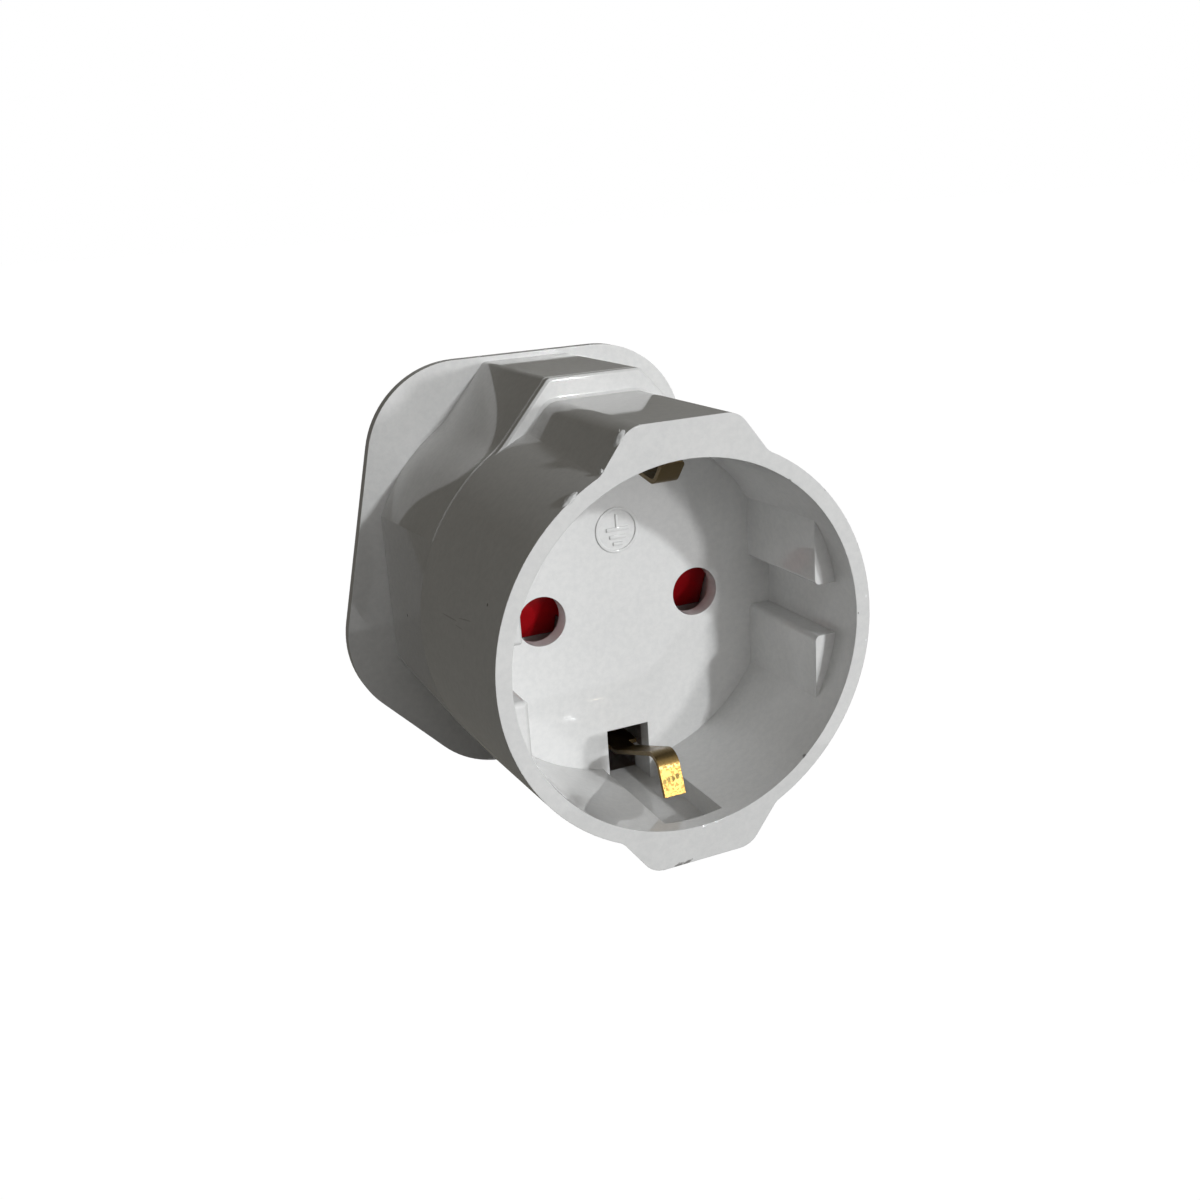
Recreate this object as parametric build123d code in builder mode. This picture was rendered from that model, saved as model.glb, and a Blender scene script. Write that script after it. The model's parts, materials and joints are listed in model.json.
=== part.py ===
"""Fused travel adapter: round two-pin recess in front, three flat wall pins behind.

Frame: X to the right seen from the recess, Y into the wall, Z up. The origin is at
the bottom of the wall plate, half way along the adapter. Millimetres.
"""
from build123d import *
from math import cos, hypot, pi, radians, sin, sqrt, tan
import os

# Recess that takes the round plug
socket_bore = 39.0
socket_depth = 17.5             # front rim to the floor of the recess
floor_thickness = 2.0
rim_wall = 1.65                 # wall of the recess at the front rim
contact_spacing = 19.0          # between the two round pins of the plug
pin_hole_bore = 5.66
side_block_flats = 33.4         # across the flats of the side blocks
side_block_setback = 3.6        # front rim to the front of the side blocks
side_block_edge = 0.6           # rounding of the edges of the side blocks
keyway_width = 5.8              # slot between the upper and the lower block of a side
clip_slot_width = 5.2
clip_slot_inner = 14.7          # socket axis to the near edge of an earth clip slot
clip_groove_width = 6.9
clip_groove_reach = 21.8        # socket axis to the bottom of the groove behind a clip
clip_groove_setback = 1.9       # front rim to the start of the groove

# Outside of the two shells
seam_depth = 21.6               # front rim to the parting line
body_length = 43.4              # front rim to the face that meets the wall
shell_draft = 2.4               # degrees that the front shell widens towards the seam
shell_wall = 1.8
seam_chamfer = 0.18
front_lobe_rise = 2.25          # rim of the recess to the flat of a front lobe
front_lobe_flat = 11.7
front_lobe_flank = 53.0         # degrees from level
front_corner_radius = 2.7
front_foot_radius = 2.0
collar_setback = 20.4           # front rim to the step up to the rear lobes
collar_step = 2.4               # flat of a front lobe to the flat of a rear lobe
collar_blend = 0.3              # slant in the corner in front of the step
collar_edge = 0.25              # break of the front edge of the collar
rear_lobe_flat = 10.9
rear_lobe_flank = 49.0
rear_foot_radius = 10.0
rear_corner_radius = 0.8
side_flats = 40.4               # across the flats of the rear shell, at the wall plate
flat_draft = 1.45               # degrees that the flats close in towards the seam

# Wall plate
plate_thickness = 2.0
plate_margin = 0.6              # flat of a rear lobe to the edge of the plate
plate_shoulder = 18.6           # half width where top and side would meet sharp
plate_hip = 27.2                # half width where side and slant would meet sharp
plate_hip_drop = 10.3           # socket axis down to the hip
plate_toe = 11.9                # half width where slant and bottom would meet sharp
plate_corner_radius = 12.0
plate_edge = 0.5                # break of the edge that meets the wall
rear_wall = 2.2

# Lip that joins the shells
lip_height = 1.5
lip_thickness = 1.1
lip_clearance = 0.1

# Wall pins
earth_pin_length = 22.73
earth_pin_width = 4.0
earth_pin_height = 8.0
power_pin_length = 17.7
power_pin_width = 6.35
power_pin_height = 4.0
power_pin_spacing = 22.23
pin_row_distance = 22.23        # earth pin to the row of power pins
earth_pin_rise = 14.2           # socket axis up to the earth pin
pin_tip_chamfer = 0.8
sleeve_length = 9.2             # insulated part outside the wall plate
sleeve_wall = 0.65
pin_clearance = 0.05
pin_head_margin = 0.6
pin_head_length = 2.8

# Brass strips
strip_thickness = 0.7
rivet_radius = 1.3
rivet_head_radius = 2.0
rivet_head_height = 0.6

# Earth strap and its two clips
strap_thickness = 0.5
strap_width = 4.6
strap_depth = 30.4              # front rim to the front of the back strip
clip_width = 2.55
strap_taper_depth = 20.2        # where the wide arm ends
lower_clip_corner = (7.8, 14.05)
lower_clip_tip = (6.05, 18.6)
lower_arm_reach = 18.0
lower_clip_radius = 1.8
upper_clip_corner = (4.9, 16.5)
upper_clip_tip = (2.75, 18.95)
upper_arm_reach = 18.9
upper_clip_radius = 1.2
upper_clip_corners = 0.7        # rounding of the free end of the upper clip
arm_bend_depth = 18.6
arm_bend_radius = 1.5
earth_seat_wall = 1.4

# Shutter
moving_gap = 0.3
shutter_travel_spare = 0.2
shutter_drop = 3.3              # socket axis down to the lower edge of a wing
shutter_rise = 3.4              # socket axis up to the upper edge of a wing
shutter_thickness = 3.6
shutter_lip = 0.5
wing_margin = 0.5
shutter_body_drop = 1.0
shutter_body_rise = 7.4
spring_seat_rise = 2.5
spring_radius = 1.05
spring_wire = 0.4
spring_wire_sides = 4
spring_turns = 4
spring_end_gap = 0.1
spring_pocket_half = 1.8
spring_pocket_skin = 0.5
guide_width = 1.2
stop_height = 1.2
retainer_thickness = 1.4
retainer_drop = 4.9
retainer_stem_half = 5.0
retainer_edge_radius = 1.0
retainer_collar_height = 2.4
retainer_collar_wall = 1.0
retainer_hole_spare = 0.25
peg_width = 1.5
peg_head = 0.2
peg_rise = 6.5
peg_drop = 3.7

# Contacts for the round pins
round_pin_length = 19.0
contact_bore = 4.9
contact_wall = 0.65
contact_length = 10.0
contact_slit = 0.8
contact_slit_length = 7.0
contact_tip_gap = 0.3           # end of the round pin to the flange of the contact
flange_radius = 3.6

# Fuse and its carrier
fuse_length = 25.4
fuse_diameter = 6.35
fuse_cap_length = 6.0
fuse_cap_wall = 0.25
fuse_tube_wall = 0.8
fuse_element_radius = 0.2
fuse_drop = 8.0                 # socket axis down to the middle of the fuse
fuse_side_clearance = 0.08
fuse_end_clearance = 0.8
carrier_width = 9.6
carrier_corner_radius = 1.6
carrier_cap_thickness = 1.5
carrier_cheek = 0.85
carrier_cheek_reach = 5.9
carrier_notch_width = 3.0
carrier_notch_depth = 1.2
clip_arm_height = 5.0
well_wall = 1.0
line_strip_width = 2.2
line_strip_offset = 5.6

# Screws
screw_circle = 17.0
screw_angle = 50.0
screw_core = 2.6
screw_head_radius = 2.3
screw_head_height = 1.7
screw_length = 12.0
screw_sink = 7.0                # wall face to the seat of the screw head
screw_seat_floor = 3.0
screw_cross = 0.6
screw_cross_depth = 0.9
screw_pilot_spare = 1.0
screw_clearance = 0.1
boss_radius = 2.5
boss_tube_radius = 3.5

# Worked out from the sizes above
total_length = body_length + earth_pin_length
front_y = -total_length / 2
socket_r = socket_bore / 2
rim_r = socket_r + rim_wall
front_lobe_reach = rim_r + front_lobe_rise
rear_lobe_reach = front_lobe_reach + collar_step
plate_reach = rear_lobe_reach + plate_margin
axis_z = plate_reach


def shell_radius(depth):
    """Outer radius of the drafted front shell at a depth behind the front rim."""
    return rim_r + depth * tan(radians(shell_draft))


floor_back = socket_depth + floor_thickness
seam_r = shell_radius(seam_depth)
plate_front = body_length - plate_thickness
seam_flats = side_flats - 2 * (plate_front - seam_depth) * tan(radians(flat_draft))
rear_inside = body_length - rear_wall
chamber_r = seam_r - shell_wall - lip_thickness - moving_gap - pin_clearance
chamber_flats = seam_flats / 2 - shell_wall - lip_clearance - lip_thickness
pin_hole_r = pin_hole_bore / 2
contact_x = contact_spacing / 2
power_x = power_pin_spacing / 2
power_z = earth_pin_rise - pin_row_distance

shutter_front = floor_back + moving_gap
shutter_back = shutter_front + shutter_thickness
guide_back = shutter_back + moving_gap
retainer_back = guide_back + retainer_thickness
shutter_travel = pin_hole_r + shutter_drop + shutter_travel_spare
wing_inner = contact_x - pin_hole_r - wing_margin
wing_outer = contact_x + pin_hole_r + wing_margin
guide_inner = wing_outer + moving_gap
guide_outer = guide_inner + guide_width
guide_rise = shutter_rise + shutter_travel + moving_gap
spring_stop_rise = shutter_body_rise + shutter_travel + moving_gap
retainer_half = guide_outer + wing_margin
spring_base = spring_seat_rise + spring_end_gap + spring_wire / 2
spring_axis_depth = shutter_back - spring_radius - spring_wire / 2 - moving_gap

contact_r = contact_bore / 2
contact_outer_r = contact_r + contact_wall
strip_front = socket_depth + round_pin_length + contact_tip_gap
strip_back = strip_front + strip_thickness
contact_front = strip_front - contact_length

cap_back = body_length
cap_front = cap_back - carrier_cap_thickness
fuse_r = fuse_diameter / 2
fuse_depth = cap_front - fuse_r - pin_clearance
fuse_top = fuse_length / 2 - fuse_drop
fuse_bottom = -fuse_length / 2 - fuse_drop
arm_inner = fuse_r + moving_gap
arm_outer = arm_inner + strip_thickness
cheek_inner = fuse_r + fuse_side_clearance
cheek_outer = cheek_inner + carrier_cheek
well_inner = max(arm_outer, cheek_outer) + moving_gap
ledge_depth = cap_front - moving_gap
clip_base_front = fuse_depth - fuse_r - moving_gap - strip_thickness
clip_base_back = clip_base_front + strip_thickness
well_front = strip_back + moving_gap
carrier_length = fuse_length + 2 * (fuse_end_clearance + well_wall)

power_head_back = strip_back + pin_head_length
sleeve_front = power_head_back
sleeve_back = body_length + sleeve_length
strap_back = strap_depth + strap_thickness
earth_head_back = strap_back + pin_head_length

screw_x = screw_circle * cos(radians(screw_angle))
screw_z = screw_circle * sin(radians(screw_angle))
screw_seat = body_length - screw_sink
boss_split_depth = screw_seat - screw_seat_floor
near = 0.01


def station(depth):
    """Plane across the socket axis at a depth behind the front rim, local y upwards."""
    return Plane(origin=(0, front_y + depth, axis_z), x_dir=(1, 0, 0), z_dir=(0, -1, 0))


def level_plane(height):
    """Level plane at a height over the socket axis: local y is the depth."""
    return Plane(origin=(0, front_y, axis_z + height))


def profile_plane(across):
    """Plane along the socket axis: local x is the depth, local y is the height."""
    return Plane(origin=(across, front_y, axis_z), x_dir=(0, 1, 0), z_dir=(1, 0, 0))


def reach_to(start, end, mode=Mode.ADD, drawing=None):
    """Extrude a sketch, or the pending one, from its depth back to a larger depth."""
    extrude(drawing, amount=start - end, mode=mode)


def plate_box(start, end, centre, size, mode=Mode.ADD):
    """Rectangular block between two depths, across the socket axis."""
    with BuildSketch(station(start)) as drawing:
        with Locations(centre):
            Rectangle(*size)
    reach_to(start, end, mode, drawing.sketch)


def rounds(start, end, centres, radius, mode=Mode.ADD):
    """Round posts or holes between two depths."""
    with BuildSketch(station(start)) as drawing:
        with Locations(*centres):
            Circle(radius)
    reach_to(start, end, mode, drawing.sketch)


def edges_across(builder, depth):
    """Edges of a part that lie in the plane across the axis at a depth."""
    return builder.edges().filter_by_position(
        Axis.Y, front_y + depth - near, front_y + depth + near
    )


def lobe_foot(radius, reach, half_flat, flank):
    """Point where the straight flank of a lobe meets the round body."""
    step_x, step_z = cos(radians(flank)), -sin(radians(flank))
    along = half_flat * step_x + reach * step_z
    run = -along - sqrt(along**2 - (half_flat**2 + reach**2 - radius**2))
    return half_flat + run * step_x, reach + run * step_z


def lobed_section(radius, reach, flat, flank, corner_radius, foot_radius):
    """Round section with a flat-topped lobe above and below."""
    foot_x, foot_z = lobe_foot(radius, reach, flat / 2, flank)
    with BuildSketch() as section:
        Circle(radius)
        for side in (1, -1):
            with BuildLine():
                Polyline(
                    (0, 0),
                    (foot_x, side * foot_z),
                    (flat / 2, side * reach),
                    (-flat / 2, side * reach),
                    (-foot_x, side * foot_z),
                    close=True,
                )
            make_face()
        corners = section.vertices().filter_by(lambda v: abs(v.Y) > reach - near)
        fillet(corners, corner_radius)
        feet = section.vertices().filter_by(
            lambda v: hypot(abs(v.X) - foot_x, abs(v.Y) - foot_z) < near
        )
        fillet(feet, foot_radius)
    return section.sketch


def front_section(depth, growth):
    """Section that carries the front lobes, just inside the cone of the front shell."""
    return lobed_section(
        shell_radius(depth) - near,
        front_lobe_reach + growth,
        front_lobe_flat + 2 * growth * tan(radians(front_lobe_flank / 2)),
        front_lobe_flank,
        front_corner_radius,
        front_foot_radius,
    )


def rear_section(radius=seam_r, inset=0.0):
    """Section of the collar and of the rear shell before its sides are cut flat."""
    return lobed_section(
        radius - inset,
        rear_lobe_reach - inset,
        rear_lobe_flat - 2 * inset * tan(radians(rear_lobe_flank / 2)),
        rear_lobe_flank,
        rear_corner_radius,
        rear_foot_radius,
    )


def flat_sided_section(inset):
    """Section of the rear shell at the seam, set in by a wall."""
    with BuildSketch() as section:
        add(rear_section())
        Rectangle(seam_flats, 2 * rear_lobe_reach, mode=Mode.INTERSECT)
        offset(amount=-inset, kind=Kind.INTERSECTION, mode=Mode.REPLACE)
    return section.sketch


def plate_section():
    """Outline of the wall plate: sides that widen downwards to slanted lower corners."""
    with BuildSketch() as section:
        with BuildLine():
            Polyline(
                (0, plate_reach),
                (plate_shoulder, plate_reach),
                (plate_hip, -plate_hip_drop),
                (plate_toe, -plate_reach),
                (0, -plate_reach),
            )
            mirror(about=Plane.YZ)
        make_face()
        corners = section.vertices().filter_by(lambda v: abs(v.X) > near)
        fillet(corners, plate_corner_radius)
    return section.sketch


screw_places = [(-screw_x, screw_z), (screw_x, screw_z)]
pin_places = [(-contact_x, 0), (contact_x, 0)]
power_places = [(-power_x, power_z), (power_x, power_z)]
peg_places = [
    (side * (guide_inner + guide_outer) / 2, height)
    for side in (-1, 1)
    for height in (peg_rise, -peg_drop)
]


def rounding_waste(plane, corner, away):
    """Waste outside a rounded edge of the side blocks, right across the recess."""
    centre = [place + step * side_block_edge for place, step in zip(corner, away)]
    middle = [place + step * side_block_edge / 2 for place, step in zip(corner, away)]
    with BuildSketch(plane) as drawing:
        with Locations(tuple(middle)):
            Rectangle(side_block_edge, side_block_edge)
        with Locations(tuple(centre)):
            Circle(side_block_edge, mode=Mode.SUBTRACT)
    extrude(drawing.sketch, amount=socket_r, both=True)


# Waste that leaves the front edges of the side blocks rounded
with BuildPart() as block_edge_waste:
    for side in (1, -1):
        rounding_waste(
            level_plane(0), (side * side_block_flats / 2, side_block_setback), (side, 1)
        )
        rounding_waste(
            profile_plane(0), (side_block_setback, side * keyway_width / 2), (1, side)
        )
    rounds(
        side_block_setback, side_block_setback + side_block_edge, [(0, 0)], socket_r,
        Mode.INTERSECT,
    )

# Front shell: recess, grooves, side blocks, lobes, collar, shutter guides and bosses
with BuildPart() as front_shell:
    with BuildSketch(profile_plane(0)):
        with BuildLine():
            Polyline(
                (0, 0),
                (0, rim_r),
                (seam_depth - seam_chamfer, shell_radius(seam_depth - seam_chamfer)),
                (seam_depth, seam_r - seam_chamfer),
                (seam_depth, 0),
                close=True,
            )
        make_face()
    revolve(axis=Axis((0, front_y, axis_z), (0, 1, 0)))
    for depth, growth in (
        (0, 0), (collar_setback - collar_blend, 0), (collar_setback, collar_blend),
    ):
        with BuildSketch(station(depth)):
            add(front_section(depth, growth))
    loft(ruled=True)
    # collar with broken edges, up to the seam
    collar_r = shell_radius(collar_setback) - near
    for depth, inset in (
        (collar_setback, collar_edge), (collar_setback + collar_edge, 0),
        (seam_depth - seam_chamfer, 0), (seam_depth, seam_chamfer),
    ):
        with BuildSketch(station(depth)):
            add(rear_section(collar_r, inset))
    loft(ruled=True)
    # recess with its side blocks left standing
    rounds(0, side_block_setback, [(0, 0)], socket_r, Mode.SUBTRACT)
    with BuildSketch(station(side_block_setback)):
        Circle(socket_r)
        with BuildSketch(mode=Mode.PRIVATE) as blocks:
            Rectangle(socket_bore, socket_bore)
            Rectangle(side_block_flats, socket_bore, mode=Mode.SUBTRACT)
            Rectangle(socket_bore, keyway_width, mode=Mode.SUBTRACT)
            keyway_corners = blocks.vertices().filter_by(
                lambda v: abs(v.X) < socket_r - near and abs(v.Y) < socket_r - near
            )
            fillet(keyway_corners, side_block_edge)
        add(blocks.sketch, mode=Mode.SUBTRACT)
    reach_to(side_block_setback, socket_depth, Mode.SUBTRACT)
    add(block_edge_waste.part, mode=Mode.SUBTRACT)
    # grooves behind the earth clips and their slots through the floor
    for side in (1, -1):
        groove_middle = (clip_slot_inner + clip_groove_reach) / 2
        groove_height = clip_groove_reach - clip_slot_inner
        plate_box(
            clip_groove_setback, socket_depth, (0, side * groove_middle),
            (clip_groove_width, groove_height), Mode.SUBTRACT,
        )
        plate_box(
            socket_depth, seam_depth, (0, side * groove_middle),
            (clip_slot_width, groove_height), Mode.SUBTRACT,
        )
    # chamber behind the floor
    with BuildSketch(station(floor_back)):
        Circle(chamber_r)
        Rectangle(2 * chamber_flats, 2 * chamber_r, mode=Mode.INTERSECT)
    reach_to(floor_back, seam_depth, Mode.SUBTRACT)
    rounds(socket_depth, floor_back, pin_places, pin_hole_r, Mode.SUBTRACT)
    # lip that enters the rear shell
    with BuildSketch(station(seam_depth)):
        add(flat_sided_section(shell_wall + lip_clearance))
        add(flat_sided_section(shell_wall + lip_clearance + lip_thickness), mode=Mode.SUBTRACT)
    reach_to(seam_depth, seam_depth + lip_height)
    # guides beside the shutter, stop under it and stop over its spring
    guide_height = guide_rise + retainer_drop
    guide_middle = (guide_rise - retainer_drop) / 2
    for side in (1, -1):
        plate_box(
            floor_back, guide_back, (side * (guide_inner + guide_outer) / 2, guide_middle),
            (guide_width, guide_height),
        )
    plate_box(
        floor_back, guide_back, (0, -shutter_body_drop - moving_gap - stop_height / 2),
        (2 * retainer_stem_half, stop_height),
    )
    plate_box(
        floor_back, guide_back, (0, spring_stop_rise + (clip_slot_inner - spring_stop_rise) / 2),
        (retainer_stem_half, clip_slot_inner - spring_stop_rise),
    )
    for place in peg_places:
        plate_box(guide_back, retainer_back + peg_head, place, (guide_width, peg_width))
    # bosses that take the two screws
    rounds(floor_back, boss_split_depth, screw_places, boss_radius)
    rounds(
        screw_seat - screw_length - screw_pilot_spare, boss_split_depth, screw_places,
        screw_core / 2, Mode.SUBTRACT,
    )
front_shell.part.label = "front_shell"

# Rear shell: flat-sided body, wall plate, pin holes, fuse well and screw tubes
with BuildPart() as rear_shell:
    with BuildSketch(station(seam_depth)):
        add(rear_section())
    reach_to(seam_depth, plate_front)
    with BuildSketch(level_plane(-rear_lobe_reach)):
        with BuildLine():
            Polyline(
                (seam_flats / 2, seam_depth),
                (side_flats / 2, plate_front),
                (seam_r + moving_gap, plate_front),
                (seam_r + moving_gap, seam_depth),
                close=True,
            )
        make_face()
        mirror(about=Plane.YZ)
    extrude(amount=2 * rear_lobe_reach, mode=Mode.SUBTRACT)
    with BuildSketch(station(plate_front)):
        add(plate_section())
    reach_to(plate_front, body_length)
    chamfer(edges_across(rear_shell, body_length), plate_edge)
    chamfer(edges_across(rear_shell, seam_depth), seam_chamfer)
    with BuildSketch(station(seam_depth)):
        add(flat_sided_section(shell_wall))
    reach_to(seam_depth, rear_inside, Mode.SUBTRACT)
    # seats inside: earth pin, power pins, contact flanges, screws, fuse well
    plate_box(
        earth_head_back, rear_inside, (0, earth_pin_rise),
        (earth_pin_width + 2 * earth_seat_wall, earth_pin_height + 2 * earth_seat_wall),
    )
    for place in power_places:
        plate_box(
            power_head_back, rear_inside, place,
            (power_pin_width + 2 * pin_head_margin, power_pin_height + 2 * pin_head_margin),
        )
    for place in pin_places:
        plate_box(strip_back, rear_inside, place, (2 * contact_r, 2 * contact_r))
    rounds(boss_split_depth, rear_inside, screw_places, boss_tube_radius)
    with BuildSketch(station(well_front)):
        with Locations((0, -fuse_drop)):
            Rectangle(2 * (well_inner + well_wall), carrier_length)
            Rectangle(
                2 * well_inner, carrier_length - 2 * well_wall, mode=Mode.SUBTRACT
            )
    reach_to(well_front, rear_inside)
    # holes through the wall
    plate_box(
        earth_head_back, body_length, (0, earth_pin_rise),
        (earth_pin_width + 2 * pin_clearance, earth_pin_height + 2 * pin_clearance),
        Mode.SUBTRACT,
    )
    for place in power_places:
        plate_box(
            power_head_back, body_length, place,
            (power_pin_width + 2 * pin_clearance, power_pin_height + 2 * pin_clearance),
            Mode.SUBTRACT,
        )
    plate_box(
        rear_inside, body_length, (0, -fuse_drop),
        (2 * well_inner, carrier_length - 2 * well_wall), Mode.SUBTRACT,
    )
    with BuildSketch(station(ledge_depth)):
        with Locations((0, -fuse_drop)):
            RectangleRounded(
                carrier_width + 2 * moving_gap, carrier_length + 2 * moving_gap,
                carrier_corner_radius + moving_gap,
            )
    reach_to(ledge_depth, body_length, Mode.SUBTRACT)
    rounds(
        boss_split_depth, body_length, screw_places, screw_core / 2 + screw_clearance,
        Mode.SUBTRACT,
    )
    rounds(screw_seat, body_length, screw_places, screw_head_radius + moving_gap, Mode.SUBTRACT)
rear_shell.part.label = "rear_shell"

# Shutter: two sloped wings that the round pins push aside, on one sliding body
with BuildPart() as shutter:
    with BuildSketch(profile_plane(-wing_outer)):
        with BuildLine():
            Polyline(
                (shutter_front, shutter_rise),
                (shutter_back, shutter_rise),
                (shutter_back, -shutter_drop),
                (shutter_back - shutter_lip, -shutter_drop),
                close=True,
            )
        make_face()
    extrude(amount=2 * wing_outer)
    plate_box(
        shutter_front, shutter_back, (0, (shutter_rise - shutter_drop) / 2),
        (2 * wing_inner, shutter_rise + shutter_drop), Mode.SUBTRACT,
    )
    plate_box(
        shutter_front, shutter_back, (0, (shutter_body_rise - shutter_body_drop) / 2),
        (2 * wing_inner, shutter_body_rise + shutter_body_drop),
    )
    plate_box(
        shutter_front + spring_pocket_skin, shutter_back,
        (0, (shutter_body_rise + spring_seat_rise) / 2),
        (2 * spring_pocket_half, shutter_body_rise - spring_seat_rise), Mode.SUBTRACT,
    )
shutter.part.label = "shutter"

# Shutter spring
spring_height = spring_stop_rise - spring_seat_rise - spring_wire - 2 * spring_end_gap
with BuildPart() as shutter_spring:
    with BuildLine():
        coil = Helix(
            pitch=spring_height / spring_turns,
            height=spring_height,
            radius=spring_radius,
            center=(0, front_y + spring_axis_depth, axis_z + spring_base),
        )
    with BuildSketch(Plane(origin=coil @ 0, z_dir=coil % 0)):
        RegularPolygon(spring_wire / 2, spring_wire_sides)
    sweep(is_frenet=True)
shutter_spring.part.label = "shutter_spring"

# Retainer: plate behind the shutter, held on the pegs of the front shell
with BuildPart() as shutter_retainer:
    with BuildSketch(station(guide_back)):
        with Locations((0, (guide_rise - retainer_drop) / 2)):
            RectangleRounded(
                2 * retainer_half, guide_rise + retainer_drop, retainer_edge_radius
            )
        with Locations((0, clip_slot_inner / 2)):
            Rectangle(2 * retainer_stem_half, clip_slot_inner)
    reach_to(guide_back, retainer_back)
    collar_width = 2 * (contact_outer_r + pin_clearance + retainer_collar_wall)
    for place in pin_places:
        plate_box(
            retainer_back, retainer_back + retainer_collar_height, place,
            (collar_width, collar_width),
        )
    rounds(
        contact_front, retainer_back + retainer_collar_height, pin_places,
        contact_outer_r + pin_clearance, Mode.SUBTRACT,
    )
    rounds(guide_back, contact_front, pin_places, pin_hole_r + retainer_hole_spare, Mode.SUBTRACT)
    for place in peg_places:
        plate_box(
            guide_back, retainer_back, place,
            (guide_width + 2 * pin_clearance, peg_width + 2 * pin_clearance), Mode.SUBTRACT,
        )
shutter_retainer.part.label = "shutter_retainer"


def strap_profile(corner, tip, arm_reach, bend_radius, side):
    """Bent edge line of one arm of the earth strap, from the back strip to the clip."""
    middle = strap_depth + strap_thickness / 2
    return [
        (middle, 0),
        (middle, side * arm_reach),
        (arm_bend_depth, side * arm_reach),
        (corner[0], side * corner[1]),
        (tip[0], side * tip[1]),
    ], [arm_bend_radius, arm_bend_radius, bend_radius]


# Earth strap: one folded strip with a sprung clip at each end
with BuildPart() as earth_strap:
    for corner, tip, arm_reach, bend_radius, side in (
        (upper_clip_corner, upper_clip_tip, upper_arm_reach, upper_clip_radius, 1),
        (lower_clip_corner, lower_clip_tip, lower_arm_reach, lower_clip_radius, -1),
    ):
        points, radii = strap_profile(corner, tip, arm_reach, bend_radius, side)
        with BuildSketch(profile_plane(-strap_width / 2)):
            with BuildLine():
                FilletPolyline(*points, radius=radii)
            trace(line_width=strap_thickness)
            with Locations((strap_taper_depth / 2, 0)):
                Rectangle(strap_taper_depth, 2 * plate_reach, mode=Mode.SUBTRACT)
        extrude(amount=strap_width)
        with BuildSketch(profile_plane(-clip_width / 2)):
            with BuildLine():
                FilletPolyline(*points, radius=radii)
            trace(line_width=strap_thickness)
        extrude(amount=clip_width)
    tip_edges = earth_strap.edges().filter_by(
        lambda e: abs(e.length - strap_thickness) < near
        and e.center().Z > axis_z + clip_slot_inner
        and e.center().Y < front_y + side_block_setback
    )
    fillet(tip_edges, upper_clip_corners)
    rounds(strap_depth, strap_back, [(0, earth_pin_rise)], rivet_radius, Mode.SUBTRACT)
earth_strap.part.label = "earth_strap"


def pin_head(head_front, place, head_size):
    """Head inside the rear shell, wider than the hole that its pin goes through."""
    plate_box(head_front, head_front + pin_head_length, place, head_size)


def spigot(strip_face, strip_end, place):
    """Round spigot through a brass strip, spread to a low head in front of it."""
    rounds(strip_face, strip_end, [place], rivet_radius)
    rounds(strip_face - rivet_head_height, strip_face, [place], rivet_head_radius)


# Earth pin
with BuildPart() as earth_pin:
    place = (0, earth_pin_rise)
    plate_box(earth_head_back, total_length, place, (earth_pin_width, earth_pin_height))
    chamfer(earth_pin.faces().sort_by(Axis.Y)[-1].edges(), pin_tip_chamfer)
    pin_head(
        strap_back, place,
        (earth_pin_width + 2 * pin_head_margin, earth_pin_height + 2 * pin_head_margin),
    )
    spigot(strap_depth, strap_back, place)
earth_pin.part.label = "earth_pin"


def power_pin(place):
    """Flat pin, narrow inside its insulating sleeve, full size at the tip."""
    with BuildPart() as pin:
        plate_box(
            sleeve_front, sleeve_back, place,
            (power_pin_width - 2 * sleeve_wall, power_pin_height - 2 * sleeve_wall),
        )
        plate_box(
            sleeve_back, body_length + power_pin_length, place,
            (power_pin_width, power_pin_height),
        )
        chamfer(pin.faces().sort_by(Axis.Y)[-1].edges(), pin_tip_chamfer)
        pin_head(
            strip_back, place,
            (power_pin_width + 2 * pin_head_margin, power_pin_height + 2 * pin_head_margin),
        )
        spigot(strip_front, strip_back, place)
    return pin.part


def pin_sleeve(place):
    """Insulating sleeve flush with the bare tip of the pin."""
    with BuildPart() as sleeve:
        plate_box(sleeve_front, sleeve_back, place, (power_pin_width, power_pin_height))
        plate_box(
            sleeve_front, sleeve_back, place,
            (power_pin_width - 2 * sleeve_wall, power_pin_height - 2 * sleeve_wall),
            Mode.SUBTRACT,
        )
    return sleeve.part


neutral_pin = power_pin(power_places[0])
line_pin = power_pin(power_places[1])
neutral_pin_sleeve = pin_sleeve(power_places[0])
line_pin_sleeve = pin_sleeve(power_places[1])
neutral_pin.label = "neutral_pin"
line_pin.label = "line_pin"
neutral_pin_sleeve.label = "neutral_pin_sleeve"
line_pin_sleeve.label = "line_pin_sleeve"


def round_contact(side):
    """Slit tube that grips a round pin, with a flange at its rear end."""
    centre = (side * contact_x, 0)
    rounds(contact_front, strip_front, [centre], contact_outer_r)
    rounds(strip_front, strip_back, [centre], flange_radius)
    rounds(contact_front, strip_front, [centre], contact_r, Mode.SUBTRACT)
    slit_length = contact_slit_length
    plate_box(
        contact_front, contact_front + slit_length, centre,
        (contact_slit, 2 * flange_radius), Mode.SUBTRACT,
    )


def fuse_clip(low, high):
    """Spring clip open to the rear that grips one end cap of the fuse."""
    middle = (low + high) / 2
    plate_box(clip_base_front, clip_base_back, (0, middle), (2 * arm_outer, high - low))
    for side in (1, -1):
        plate_box(
            clip_base_front, clip_base_front + clip_arm_height + strip_thickness,
            (side * (arm_inner + arm_outer) / 2, middle), (strip_thickness, high - low),
        )


upper_clip_low = fuse_top - fuse_cap_length + moving_gap
lower_clip_high = fuse_bottom + fuse_cap_length - moving_gap

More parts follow.
